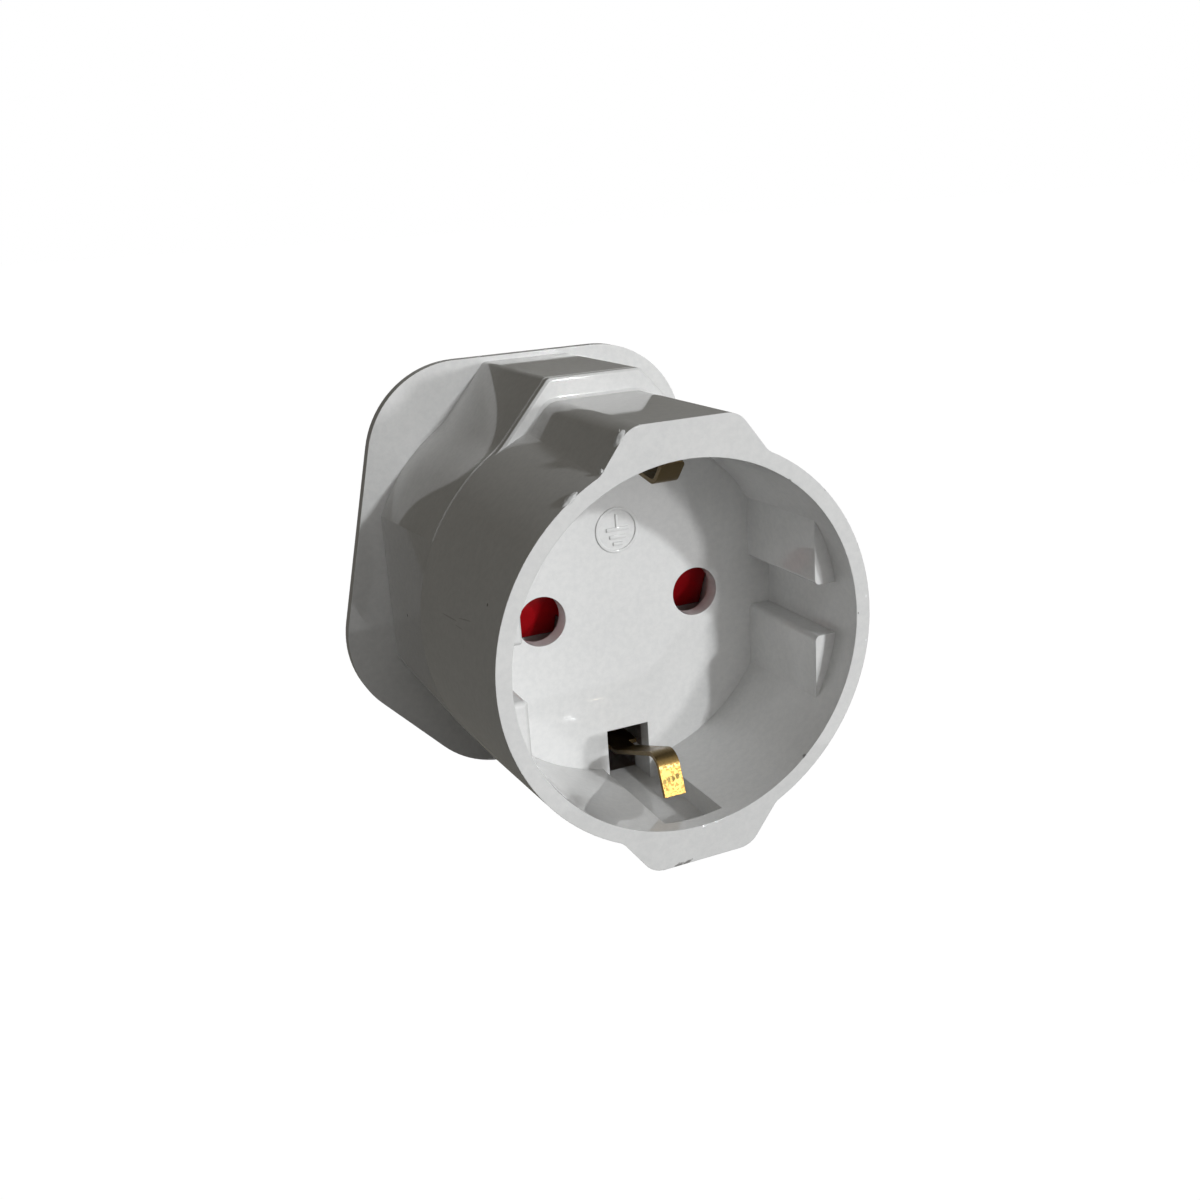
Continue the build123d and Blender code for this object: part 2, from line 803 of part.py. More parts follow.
# Line contact: round contact and upper fuse clip in one folded strip
with BuildPart() as line_contact:
    round_contact(1)
    fuse_clip(upper_clip_low, fuse_top - moving_gap)
    plate_box(
        strip_front, strip_back, ((arm_inner + contact_x) / 2, (upper_clip_low + flange_radius) / 2),
        (contact_x - arm_inner, flange_radius - upper_clip_low),
    )
line_contact.part.label = "line_contact"

# Line strip: lower fuse clip and the strip riveted to the line pin
with BuildPart() as line_strip:
    fuse_clip(fuse_bottom + moving_gap, lower_clip_high)
    strip_low = lower_clip_high - line_strip_width
    strip_column = line_strip_offset + line_strip_width / 2
    plate_box(
        strip_front, strip_back,
        ((arm_inner + line_strip_offset + line_strip_width) / 2, (strip_low + lower_clip_high) / 2),
        (line_strip_offset + line_strip_width - arm_inner, line_strip_width),
    )
    plate_box(
        strip_front, strip_back, (strip_column, (strip_low + power_z) / 2),
        (line_strip_width, power_z - strip_low),
    )
    plate_box(
        strip_front, strip_back, ((line_strip_offset + power_x) / 2, power_z),
        (power_x - line_strip_offset, 2 * rivet_head_radius),
    )
    rounds(strip_front, strip_back, [power_places[1]], rivet_head_radius + pin_head_margin)
    rounds(strip_front, strip_back, [power_places[1]], rivet_radius, Mode.SUBTRACT)
line_strip.part.label = "line_strip"

# Neutral contact: round contact and the strip riveted to the neutral pin
with BuildPart() as neutral_contact:
    round_contact(-1)
    with BuildSketch(station(strip_front)):
        with BuildLine():
            Line(pin_places[0], power_places[0])
        trace(line_width=2 * (rivet_head_radius + pin_head_margin))
        with Locations(power_places[0]):
            Circle(rivet_head_radius + pin_head_margin)
            Circle(rivet_radius, mode=Mode.SUBTRACT)
    reach_to(strip_front, strip_back)
neutral_contact.part.label = "neutral_contact"


def fuse_plane(height):
    """Plane across the fuse axis at a height over the socket axis."""
    return Plane(origin=(0, front_y + fuse_depth, axis_z + height))


# Fuse: ceramic tube, two pressed caps and the wire between them
fuse_tube_r = fuse_r - fuse_cap_wall
with BuildPart() as fuse_tube:
    with BuildSketch(fuse_plane(fuse_bottom + fuse_cap_wall)):
        Circle(fuse_tube_r)
        Circle(fuse_tube_r - fuse_tube_wall, mode=Mode.SUBTRACT)
    extrude(amount=fuse_length - 2 * fuse_cap_wall)
fuse_tube.part.label = "fuse_tube"


def fuse_cap(end, inward):
    """Pressed cup over one end of the fuse tube."""
    with BuildPart() as cap:
        with BuildSketch(fuse_plane(end)):
            Circle(fuse_r)
        extrude(amount=inward * fuse_cap_length)
        with BuildSketch(fuse_plane(end + inward * fuse_cap_wall)):
            Circle(fuse_tube_r)
        extrude(amount=inward * (fuse_cap_length - fuse_cap_wall), mode=Mode.SUBTRACT)
    return cap.part


fuse_cap_upper = fuse_cap(fuse_top, -1)
fuse_cap_lower = fuse_cap(fuse_bottom, 1)
fuse_cap_upper.label = "fuse_cap_upper"
fuse_cap_lower.label = "fuse_cap_lower"

with BuildPart() as fuse_element:
    with BuildSketch(fuse_plane(fuse_bottom + fuse_cap_wall)):
        Circle(fuse_element_radius)
    extrude(amount=fuse_length - 2 * fuse_cap_wall)
fuse_element.part.label = "fuse_element"

# Fuse carrier: flush cap with two cheeks that hold the fuse and a notch to lift it
with BuildPart() as fuse_carrier:
    with BuildSketch(station(cap_front)):
        with Locations((0, -fuse_drop)):
            RectangleRounded(carrier_width, carrier_length, carrier_corner_radius)
        with Locations((0, -fuse_drop - carrier_length / 2)):
            Rectangle(carrier_notch_width, 2 * carrier_notch_depth, mode=Mode.SUBTRACT)
    reach_to(cap_front, cap_back)
    cheek_length = fuse_length - 2 * fuse_cap_length - 2 * moving_gap
    for side in (1, -1):
        plate_box(
            cap_front - carrier_cheek_reach, cap_front,
            (side * (cheek_inner + cheek_outer) / 2, -fuse_drop), (carrier_cheek, cheek_length),
        )
fuse_carrier.part.label = "fuse_carrier"

# Screws that hold the shells together
with BuildPart() as case_screws:
    rounds(screw_seat - screw_length, screw_seat, screw_places, screw_core / 2)
    rounds(screw_seat, screw_seat + screw_head_height, screw_places, screw_head_radius)
    for place in screw_places:
        for size in ((screw_head_radius, screw_cross), (screw_cross, screw_head_radius)):
            plate_box(
                screw_seat + screw_head_height - screw_cross_depth,
                screw_seat + screw_head_height, place, size, Mode.SUBTRACT,
            )
case_screws.part.label = "case_screws"

pieces = [
    front_shell.part,
    rear_shell.part,
    shutter.part,
    shutter_spring.part,
    shutter_retainer.part,
    earth_strap.part,
    earth_pin.part,
    neutral_pin,
    line_pin,
    neutral_pin_sleeve,
    line_pin_sleeve,
    neutral_contact.part,
    line_contact.part,
    line_strip.part,
    fuse_tube.part,
    fuse_cap_upper,
    fuse_cap_lower,
    fuse_element.part,
    fuse_carrier.part,
    case_screws.part,
]

os.makedirs("parts", exist_ok=True)
for piece in pieces:
    export_step(piece, f"parts/{piece.label}.step")
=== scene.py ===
"""Dresses the travel adapter: shells, clips, shutter, wall pins and fuse, with stage and camera."""
import json
import logging
import math
from dataclasses import dataclass, field
from enum import Enum
from typing import Any, Iterable

import bpy
from mathutils import Matrix, Vector


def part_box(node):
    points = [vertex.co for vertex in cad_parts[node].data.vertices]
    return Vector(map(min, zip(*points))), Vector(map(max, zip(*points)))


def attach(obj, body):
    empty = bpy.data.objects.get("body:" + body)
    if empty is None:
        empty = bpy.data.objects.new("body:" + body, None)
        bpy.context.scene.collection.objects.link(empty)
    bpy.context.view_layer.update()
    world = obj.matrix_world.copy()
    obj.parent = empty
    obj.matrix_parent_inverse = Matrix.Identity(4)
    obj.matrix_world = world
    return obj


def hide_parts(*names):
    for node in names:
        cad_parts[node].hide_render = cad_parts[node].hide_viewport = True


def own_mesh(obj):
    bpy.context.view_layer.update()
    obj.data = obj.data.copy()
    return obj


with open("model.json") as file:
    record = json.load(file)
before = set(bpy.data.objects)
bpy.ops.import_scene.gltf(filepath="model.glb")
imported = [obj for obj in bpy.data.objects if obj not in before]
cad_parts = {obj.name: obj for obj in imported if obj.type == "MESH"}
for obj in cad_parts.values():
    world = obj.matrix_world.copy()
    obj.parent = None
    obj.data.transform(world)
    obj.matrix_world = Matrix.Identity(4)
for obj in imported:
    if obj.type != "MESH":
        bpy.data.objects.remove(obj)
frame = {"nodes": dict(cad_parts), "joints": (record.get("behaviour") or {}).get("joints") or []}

LOG = logging.getLogger("travel_adapter")
Triple = tuple[float, float, float]

MM = 0.001                      # metres in a millimetre
FRONT_DEPTH = -33.065           # millimetres from the frame's middle to the rim
AXIS_HEIGHT = 26.4              # millimetres from the floor to the socket axis

# waves or cells per metre of the patterns in the finishes
CLOUD_WAVES = 90.0
SMUDGE_WAVES = 260.0
TARNISH_WAVES = 420.0
SPECK_CELLS = 700.0
GRAIN_WAVES = 1400.0
FINE_WAVES = 2600.0

RELIEF = 0.004 * MM             # height of a bump level of 1
PLASTIC_IOR = 1.5
SMOOTH_ANGLE = math.radians(40)


def at(across: float, depth: float, height: float) -> Vector:
    """Place in metres from millimetres off the socket axis and behind the rim."""
    return Vector((across, FRONT_DEPTH + depth, AXIS_HEIGHT + height)) * MM


class Part(Enum):
    """Bodies of the adapter, each with its own motion."""

    CASE = "case"
    SHUTTER = "shutter"
    CARRIER = "fuse_carrier"


@dataclass(frozen=True)
class Level:
    """A shader value that can be used in Python expressions."""

    tree: Any
    socket: Any

    def _math(self, operation: str, first: Any, second: Any, clamp: bool = False) -> "Level":
        """Adds one Math node.

        Args:
            operation: name of the operation.
            first: level or number for the first socket.
            second: level or number for the second socket.
            clamp: whether the result stays from 0 to 1.

        Returns:
            The level that comes out of the node.
        """
        made = self.tree.nodes.new("ShaderNodeMath")
        made.operation = operation
        made.use_clamp = clamp
        for place, value in zip(made.inputs, (first, second)):
            if isinstance(value, Level):
                self.tree.links.new(value.socket, place)
            else:
                place.default_value = value
        return Level(self.tree, made.outputs[0])

    def __add__(self, other: Any) -> "Level":
        """Sum of two levels."""
        return self._math("ADD", self, other)

    __radd__ = __add__

    def __mul__(self, other: Any) -> "Level":
        """Product of two levels."""
        return self._math("MULTIPLY", self, other)

    __rmul__ = __mul__

    def __sub__(self, other: Any) -> "Level":
        """Difference of two levels."""
        return self._math("SUBTRACT", self, other)

    def __rsub__(self, other: Any) -> "Level":
        """Difference of a number and a level."""
        return self._math("SUBTRACT", other, self)

    def __or__(self, other: Any) -> "Level":
        """The larger of two levels."""
        return self._math("MAXIMUM", self, other)

    def __and__(self, other: Any) -> "Level":
        """The smaller of two levels."""
        return self._math("MINIMUM", self, other)

    def beyond(self, limit: float, softness: float) -> "Level":
        """Mask that rises from 0 to 1 over a softness past a limit."""
        past = self - limit
        return past._math("MULTIPLY", past, 1 / softness, True)

    def below(self, limit: float, softness: float) -> "Level":
        """Mask that falls from 1 to 0 over a softness up to a limit."""
        short = limit - self
        return short._math("MULTIPLY", short, 1 / softness, True)


@dataclass(frozen=True)
class Mark:
    """A small dent, scratch or speck, or a painted glint, at one place of a surface."""

    place: Triple
    reach: Triple
    turn: Triple = (0.0, 0.0, 0.0)
    ragged: float = 0.5


@dataclass(frozen=True)
class Stain:
    """Colour that marks leave, or a painted highlight, and how much of it shows."""

    colour: Triple
    share: float


DIRT = Stain((0.11, 0.10, 0.08), 0.7)
NICK = Stain((0.10, 0.095, 0.085), 0.75)
SCRATCH = Stain((0.2, 0.19, 0.17), 0.3)
# painted highlight: near-white colour that stands in for glints of light on the rim edges
PAINTED_GLINT = Stain((0.93, 0.94, 0.95), 0.9)
DENT = Stain((0.075, 0.055, 0.02), 0.9)


class Recipe:
    """Node tree of one material, with one method for every kind of node."""

    def __init__(self, name: str) -> None:
        """Makes an empty material tree with its output.

        Args:
            name: name of the material.
        """
        self.material = bpy.data.materials.new(name)
        self.material.use_nodes = True
        self.tree = self.material.node_tree
        self.tree.nodes.clear()
        self.output = self.tree.nodes.new("ShaderNodeOutputMaterial")
        self.place = self.node("ShaderNodeTexCoord").outputs["Object"]

    def node(self, kind: str, settings: dict[str, Any] | None = None,
             inputs: dict[Any, Any] | None = None) -> Any:
        """Adds a node.

        Args:
            kind: type of the node.
            settings: attributes of the node, set before its sockets.
            inputs: values, sockets or levels for its sockets, by name or number.

        Returns:
            The new node.
        """
        made = self.tree.nodes.new(kind)
        for name, value in (settings or {}).items():
            setattr(made, name, value)
        for name, value in (inputs or {}).items():
            if isinstance(value, Level):
                self.tree.links.new(value.socket, made.inputs[name])
            elif isinstance(value, bpy.types.NodeSocket):
                self.tree.links.new(value, made.inputs[name])
            else:
                made.inputs[name].default_value = value
        return made

    def level(self, socket: Any) -> Level:
        """Wraps a socket for expressions."""
        return Level(self.tree, socket)

    def stretched(self, scale: Triple, turn: Triple = (0.0, 0.0, 0.0)) -> Any:
        """Object coordinates scaled and turned for a pattern.

        Args:
            scale: waves per metre along each axis.
            turn: turn in radians about each axis.

        Returns:
            Socket of the new coordinates.
        """
        return self.node(
            "ShaderNodeMapping", inputs={"Vector": self.place, "Scale": scale, "Rotation": turn}
        ).outputs["Vector"]

    def noise(self, scale: float, detail: float = 3.0, roughness: float = 0.55,
              vector: Any = None) -> Level:
        """Noise in Object coordinates.

        Args:
            scale: waves per metre.
            detail: octaves.
            roughness: weight of the fine octaves.
            vector: coordinates in place of the plain ones.

        Returns:
            Its level.
        """
        made = self.node(
            "ShaderNodeTexNoise",
            inputs={"Vector": vector or self.place, "Scale": scale, "Detail": detail,
                    "Roughness": roughness},
        )
        return self.level(made.outputs[0])

    def dots(self, scale: float, size: float, share: float) -> Level:
        """Scattered round specks.

        Args:
            scale: cells per metre.
            size: speck size as a part of a cell.
            share: part of the cells that hold a speck.

        Returns:
            Mask of the specks.
        """
        cells = self.node("ShaderNodeTexVoronoi", inputs={"Vector": self.place, "Scale": scale})
        spread = self.node("ShaderNodeSeparateColor", inputs={0: cells.outputs["Color"]})
        near = self.level(cells.outputs["Distance"]).below(size * 1.5, size * 0.5)
        return near * self.level(spread.outputs[0]).beyond(1 - share, 0.002)

    def scratches(self, along: float, across: float, turn: Triple, rarity: float) -> Level:
        """Thin streaks in one direction.

        Args:
            along: waves per metre along the streaks.
            across: waves per metre across them.
            turn: turn of the pattern in radians.
            rarity: limit past which the noise shows as a streak.

        Returns:
            Mask of the streaks.
        """
        vector = self.stretched((across, along, across), turn)
        return self.noise(1.0, 2.0, 0.5, vector).beyond(rarity, 0.04)

    def at_marks(self, marks: Iterable[Mark]) -> Level:
        """Mask of single marks at their places.

        Args:
            marks: the marks, with places and sizes in millimetres.

        Returns:
            Mask that is 1 inside every mark, with a ragged edge.
        """
        ragged = self.noise(FINE_WAVES, 3.0, 0.6) - 0.5
        total = None
        for mark in marks:
            local = self.node(
                "ShaderNodeMapping", {"vector_type": "TEXTURE"},
                {"Vector": self.place, "Location": at(*mark.place), "Rotation": mark.turn,
                 "Scale": Vector(mark.reach) * MM},
            )
            far = self.node(
                "ShaderNodeVectorMath", {"operation": "LENGTH"}, {0: local.outputs[0]}
            )
            reached = self.level(far.outputs["Value"]) + ragged * (2 * mark.ragged)
            inside = reached.below(1.0, 0.35)
            total = inside if total is None else total | inside
        return total

    def stained(self, base: Any, mask: Level, stain: Stain) -> Any:
        """Colour with a stain where the mask is 1."""
        return self.mix(mask * stain.share, base, (*stain.colour, 1))

    def mix(self, mask: Any, low: Any, high: Any) -> Any:
        """Colour from low to high by a mask."""
        made = self.node("ShaderNodeMix", {"data_type": "RGBA"}, {0: mask, 6: low, 7: high})
        return made.outputs[2]

    def bump(self, height: Level, distance: float, strength: float = 1.0,
             before: Any = None) -> Any:
        """Normal of a surface with raised and sunk marks.

        Args:
            height: level of the marks.
            distance: metres that a level of 1 stands for.
            strength: share of the marks that shows.
            before: normal to start from, in place of the plain one.

        Returns:
            Socket of the new normal.
        """
        inputs = {"Height": height, "Distance": distance, "Strength": strength}
        if before is not None:
            inputs["Normal"] = before
        return self.node("ShaderNodeBump", inputs=inputs).outputs["Normal"]

    def soft_edges(self, radius: float) -> Any:
        """Normal that rounds the edges of a piece by a radius in millimetres."""
        return self.node(
            "ShaderNodeBevel", {"samples": 6}, {"Radius": radius * MM}
        ).outputs["Normal"]

    def surface(self, **inputs: Any) -> Any:
        """Finishes the material with a Principled shader.

        Args:
            inputs: sockets by name, with spaces written as underscores.

        Returns:
            The material.
        """
        shader = self.node(
            "ShaderNodeBsdfPrincipled",
            inputs={name.replace("_", " "): value for name, value in inputs.items()},
        )
        self.tree.links.new(shader.outputs[0], self.output.inputs["Surface"])
        return self.material


@dataclass(frozen=True)
class MouldedPlastic:
    """Moulded plastic with handling marks and painted glints."""

    name: str
    colour: Triple
    shade: Triple
    roughness: float = 0.2
    edge: float = 0.12
    specks: float = 0.02
    scuffs: float = 0.3
    dark_marks: tuple[Mark, ...] = ()
    painted_glint_marks: tuple[Mark, ...] = ()
    faint_marks: tuple[Mark, ...] = ()

    def make(self) -> Any:
        """Builds the material.

        Returns:
            The material.
        """
        recipe = Recipe(self.name)
        clouds = recipe.noise(CLOUD_WAVES, 4.0)
        fine = recipe.noise(FINE_WAVES, 2.0)
        grain = recipe.noise(GRAIN_WAVES, 2.0, 0.7).beyond(0.35, 0.3)
        smudge = recipe.noise(SMUDGE_WAVES, 5.0, 0.65).beyond(0.55, 0.2)
        dirt = recipe.dots(SPECK_CELLS, 0.1, self.specks)
        lines = recipe.scratches(60.0, 3500.0, (0.3, 0.5, 0.9), 0.72) | recipe.scratches(
            90.0, 2800.0, (1.1, 0.2, -0.6), 0.74)
        tone = clouds.beyond(0.3, 0.4) * 0.35 + smudge * 0.15 + grain * 0.5
        base = recipe.mix(tone, (*self.colour, 1), (*self.shade, 1))
        base = recipe.stained(base, dirt, DIRT)
        rough = fine * 0.03 + smudge * 0.05 + lines * self.scuffs * 0.3 + (self.roughness - 0.02)
        height = fine * 0.1 + clouds * 0.5 - lines * self.scuffs * 0.6 + dirt
        if self.dark_marks:
            nicks = recipe.at_marks(self.dark_marks)
            base = recipe.stained(base, nicks, NICK)
            height = height - nicks * 6
            rough = rough + nicks * 0.3
        if self.faint_marks:
            base = recipe.stained(base, recipe.at_marks(self.faint_marks), SCRATCH)
        # painted highlight: near-white glints painted at the listed marks, and raised a little by
        # the bump
        if self.painted_glint_marks:
            painted_glints = recipe.at_marks(self.painted_glint_marks)
            base = recipe.stained(base, painted_glints, PAINTED_GLINT)
            height = height + painted_glints * 8
        return recipe.surface(
            Base_Color=base, Roughness=rough, IOR=PLASTIC_IOR,
            Normal=recipe.bump(height, RELIEF, 0.5, recipe.soft_edges(self.edge)),
        )


@dataclass(frozen=True)
class WornMetal:
    """Metal with rolling marks, scratches and tarnish."""

    name: str
    colour: Triple
    tarnish: Triple
    tarnish_share: float = 0.4
    roughness: float = 0.22
    marks: float = 0.5
    edge: float = 0.08
    stain: float = 0.5
    rolling: float = 0.5

    def make(self) -> Any:
        """Builds the material.

        Returns:
            The material.
        """
        recipe = Recipe(self.name)
        clouds = recipe.noise(TARNISH_WAVES, 5.0, 0.6).beyond(1 - self.tarnish_share, 0.25)
        rolled = recipe.noise(1.0, 3.0, 0.6, recipe.stretched((3600.0, 160.0, 3600.0)))
        lines = recipe.scratches(140.0, 5200.0, (0.05, 0.0, 0.12), 0.68) | recipe.scratches(
            300.0, 4600.0, (0.9, 0.3, 0.5), 0.72)
        base = recipe.mix(clouds * self.stain, (*self.colour, 1), (*self.tarnish, 1))
        return self.finish(recipe, base, clouds, rolled, lines)

    def finish(self, recipe: Recipe, base: Any, clouds: Level, rolled: Level,
               lines: Level) -> Any:
        """Puts the colour and the marks on a metal surface.

        Args:
            recipe: the material's tree.
            base: colour socket.
            clouds: mask of the tarnish.
            rolled: level of the rolling marks.
            lines: mask of the scratches.

        Returns:
            The material.
        """
        rough = clouds * 0.12 + rolled * 0.06 + lines * 0.12 + (self.roughness - 0.03)
        height = rolled * self.rolling - lines * self.marks
        return recipe.surface(
            Base_Color=base, Metallic=1.0, Roughness=rough,
            Normal=recipe.bump(height, RELIEF, 0.7, recipe.soft_edges(self.edge)),
        )


@dataclass(frozen=True)
class SpringBrass(WornMetal):
    """Brass of the earth strap: bright and scratched at the lower clip, and elsewhere painted
    darker as painted shade and a painted dark reflection.
    """

    # painted shade and painted dark reflection: the dark colour of the strap away from the lower
    # clip; the four numbers below bound the lower clip, which keeps the lit colour
    painted_shade_brown: Triple = (0.16, 0.115, 0.052)
    bright_height: float = -14.3
    height_blend: float = 1.6
    bright_depth: float = 9.5
    depth_blend: float = 1.5

    def make(self) -> Any:
        """Builds the material.

        Returns:
            The material.
        """
        recipe = Recipe(self.name)
        place = recipe.node("ShaderNodeSeparateXYZ", inputs={0: recipe.place})
        height = recipe.level(place.outputs[2])
        depth = recipe.level(place.outputs[1])
        low = height.below((AXIS_HEIGHT + self.bright_height) * MM, self.height_blend * MM)
        near = depth.below((FRONT_DEPTH + self.bright_depth) * MM, self.depth_blend * MM)
        clouds = recipe.noise(TARNISH_WAVES, 5.0, 0.6).beyond(1 - self.tarnish_share, 0.25)
        rolled = recipe.noise(1.0, 3.0, 0.6, recipe.stretched((2500.0, 120.0, 2500.0)))
        rubbed = recipe.scratches(700.0, 3800.0, (1.57, 0.0, 0.25), 0.56) | recipe.scratches(
            500.0, 4200.0, (1.57, 0.0, -0.5), 0.6)
        base = recipe.mix(clouds * 0.6 + rubbed * 0.5, (*self.colour, 1), (*self.tarnish, 1))
        # painted shade: away from the lit lower clip the strap takes the dark painted colour
        base = recipe.mix(low * near, (*self.painted_shade_brown, 1), base)
        base = recipe.stained(base, recipe.at_marks(CLIP_DENTS), DENT)
        return self.finish(recipe, base, clouds, rolled, rubbed)


RIM_NICKS = (
    Mark((-3.0, 0.1, -23.35), (0.75, 0.5, 0.28), (0.0, -0.35, 0.0), 0.7),
    Mark((-1.9, 0.1, -23.25), (0.8, 0.4, 0.2), (0.0, -0.3, 0.0), 0.8),
    Mark((11.4, 0.1, 15.75), (0.3, 0.3, 0.22), (0.0, 0.6, 0.0), 0.6),
    Mark((12.75, 0.1, -14.65), (0.3, 0.4, 0.2), (0.0, -0.8, 0.0), 0.6),
    Mark((19.7, 0.1, 7.82), (0.12, 0.3, 0.3), ragged=0.6),
    Mark((19.7, 0.1, 0.2), (0.12, 0.2, 0.16), ragged=0.5),
)
SIDE_SCRATCHES = (
    Mark((-21.3, 12.6, 4.2), (0.6, 2.6, 0.08), (-0.06, 0.0, 0.0), 0.25),
    Mark((-20.9, 8.5, 5.0), (0.6, 2.0, 0.07), (-0.15, 0.0, 0.0), 0.25),
    Mark((-21.1, 9.8, 3.9), (0.6, 1.3, 0.05), (-0.02, 0.0, 0.0), 0.25),
)
CLIP_DENTS = tuple(
    Mark((across, 6.75, height), (0.3, 0.8, 0.38), ragged=0.5)
    for across, height in ((-0.95, -16.9), (-0.42, -16.75), (0.12, -16.8), (0.68, -16.65))
)
# Glints along the rim edges: painted highlights, near-white where light catches the edge, each
# raised a little by the bump
RIM_PAINTED_GLINTS = (
    Mark((-7.7, 0.0, -17.9), (0.14, 0.2, 0.1), ragged=0.5),
    Mark((0.3, 0.0, -19.68), (0.42, 0.2, 0.1), (0.0, -0.15, 0.0), 0.5),
    Mark((1.8, 0.0, -19.6), (0.2, 0.2, 0.1), ragged=0.5),
    Mark((-12.75, 0.0, -14.6), (0.42, 0.2, 0.12), (0.0, 0.75, 0.0), 0.7),
    Mark((-10.97, 0.0, -16.0), (0.3, 0.2, 0.12), (0.0, 0.6, 0.0), 0.7),
    Mark((20.68, 0.0, 1.92), (0.12, 0.2, 0.2), ragged=0.5),
    Mark((20.69, 0.0, -3.03), (0.12, 0.2, 0.15), ragged=0.5),
)

FRONT_WHITE = MouldedPlastic("front_shell_white", (0.80, 0.80, 0.795), (0.71, 0.715, 0.715), 0.05,
                             specks=0.004, dark_marks=RIM_NICKS, painted_glint_marks=RIM_PAINTED_GLINTS,
                             faint_marks=SIDE_SCRATCHES)
REAR_WHITE = MouldedPlastic("rear_shell_white", (0.79, 0.79, 0.785), (0.70, 0.705, 0.705), 0.06,
                            specks=0.01)
FLASH_WHITE = MouldedPlastic("knocked_edge_white", (0.74, 0.75, 0.75), (0.5, 0.5, 0.49), 0.4,
                             0.05, 0.0, 0.5)
CARRIER_WHITE = MouldedPlastic("carrier_white", (0.77, 0.77, 0.76), (0.70, 0.70, 0.69), 0.32)
SHUTTER_RED = MouldedPlastic("shutter_red", (0.40, 0.006, 0.010), (0.33, 0.005, 0.009), 0.22,
                             specks=0.01)
INNER_PLASTIC = MouldedPlastic("inner_plastic", (0.62, 0.62, 0.60), (0.55, 0.55, 0.53), 0.45)
SLEEVE_BLACK = MouldedPlastic("sleeve_black", (0.022, 0.022, 0.024), (0.03, 0.03, 0.03), 0.45)
CERAMIC = MouldedPlastic("fuse_ceramic", (0.74, 0.72, 0.66), (0.66, 0.63, 0.56), 0.38, 0.05, 0.01)
STRAP_BRASS = SpringBrass("strap_brass", (0.28, 0.172, 0.05), (0.15, 0.092, 0.026), 0.42, 0.3, 2.0)
PIN_BRASS = WornMetal("pin_brass", (0.74, 0.58, 0.31), (0.58, 0.43, 0.2), 0.35, 0.26,
                      rolling=0.15)
CONTACT_BRASS = WornMetal("contact_brass", (0.66, 0.47, 0.2), (0.38, 0.26, 0.1), 0.4, 0.3)
NICKEL = WornMetal("fuse_nickel", (0.70, 0.68, 0.64), (0.52, 0.50, 0.46), 0.3, 0.18)
TINNED_WIRE = WornMetal("fuse_wire", (0.72, 0.71, 0.68), (0.60, 0.58, 0.55), 0.3, 0.3, 0.5, 0.02)
ZINC_STEEL = WornMetal("zinc_steel", (0.56, 0.57, 0.58), (0.40, 0.40, 0.38), 0.4, 0.3)

NODE_FINISHES = {
    Part.CASE: {
        "front_shell": FRONT_WHITE,
        "rear_shell": REAR_WHITE,
        "shutter_retainer": INNER_PLASTIC,
        "earth_strap": STRAP_BRASS,
        "earth_pin": PIN_BRASS,
        "neutral_pin": PIN_BRASS,
        "line_pin": PIN_BRASS,
        "neutral_pin_sleeve": SLEEVE_BLACK,
        "line_pin_sleeve": SLEEVE_BLACK,
        "neutral_contact": CONTACT_BRASS,
        "line_contact": CONTACT_BRASS,
        "line_strip": CONTACT_BRASS,
        "case_screws": ZINC_STEEL,
    },
    Part.SHUTTER: {"shutter": SHUTTER_RED, "shutter_spring": ZINC_STEEL},
    Part.CARRIER: {
        "fuse_carrier": CARRIER_WHITE,
        "fuse_tube": CERAMIC,
        "fuse_cap_upper": NICKEL,
        "fuse_cap_lower": NICKEL,
        "fuse_element": TINNED_WIRE,
    },
}


@dataclass
class Finishes:
    """Keeps each finish's material, so that it is built once."""

    made: dict[str, Any] = field(default_factory=dict)

    def of(self, finish: Any) -> Any:
        """Material of a finish.

        Args:
            finish: the finish.

        Returns:
            Its material.
        """
        if finish.name not in self.made:
            self.made[finish.name] = finish.make()
        return self.made[finish.name]

    def dress_nodes(self) -> None:
        """Gives every carried node the material of its finish."""
        for part, finishes in NODE_FINISHES.items():
            for name, finish in finishes.items():
                node = frame["nodes"][name]
                node.data.materials.clear()
                node.data.materials.append(self.of(finish))
                LOG.info("dressed %s of the %s in %s", name, part.value, finish.name)


@dataclass
class Bench:
    """Modelling steps that the new pieces share."""

    finishes: Finishes

    def clear(self) -> None:
        """Deselects everything."""
        if bpy.context.object and bpy.context.object.mode != "OBJECT":
            bpy.ops.object.mode_set(mode="OBJECT")
        bpy.ops.object.select_all(action="DESELECT")

    def modify(self, piece: Any, kind: str, **settings: Any) -> None:
        """Adds a modifier and applies it.

        Args:
            piece: the object.
            kind: type of the modifier.
            settings: its attributes.
        """
        step = piece.modifiers.new(kind.lower(), kind)
        for name, value in settings.items():
            setattr(step, name, value)
        bpy.context.view_layer.objects.active = piece
        bpy.ops.object.modifier_apply(modifier=step.name)

    def finish(self, piece: Any, name: str, part: Part, slot: str, finish: Any) -> Any:
        """Names, dresses and attaches a piece.

        Args:
            piece: the object.
            name: its name.
            part: the body that it rides on.
            slot: not used.
            finish: its finish.

        Returns:
            The finished piece.
        """
        bpy.ops.object.select_all(action="DESELECT")
        piece.select_set(True)
        bpy.context.view_layer.objects.active = piece
        bpy.ops.object.transform_apply(location=True, rotation=True, scale=True)
        bpy.ops.object.shade_smooth_by_angle(angle=SMOOTH_ANGLE)
        piece.name = name
        piece.data.name = name
        piece.data.materials.clear()
        piece.data.materials.append(self.finishes.of(finish))
        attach(piece, part.value)
        LOG.info("made %s", name)
        return piece


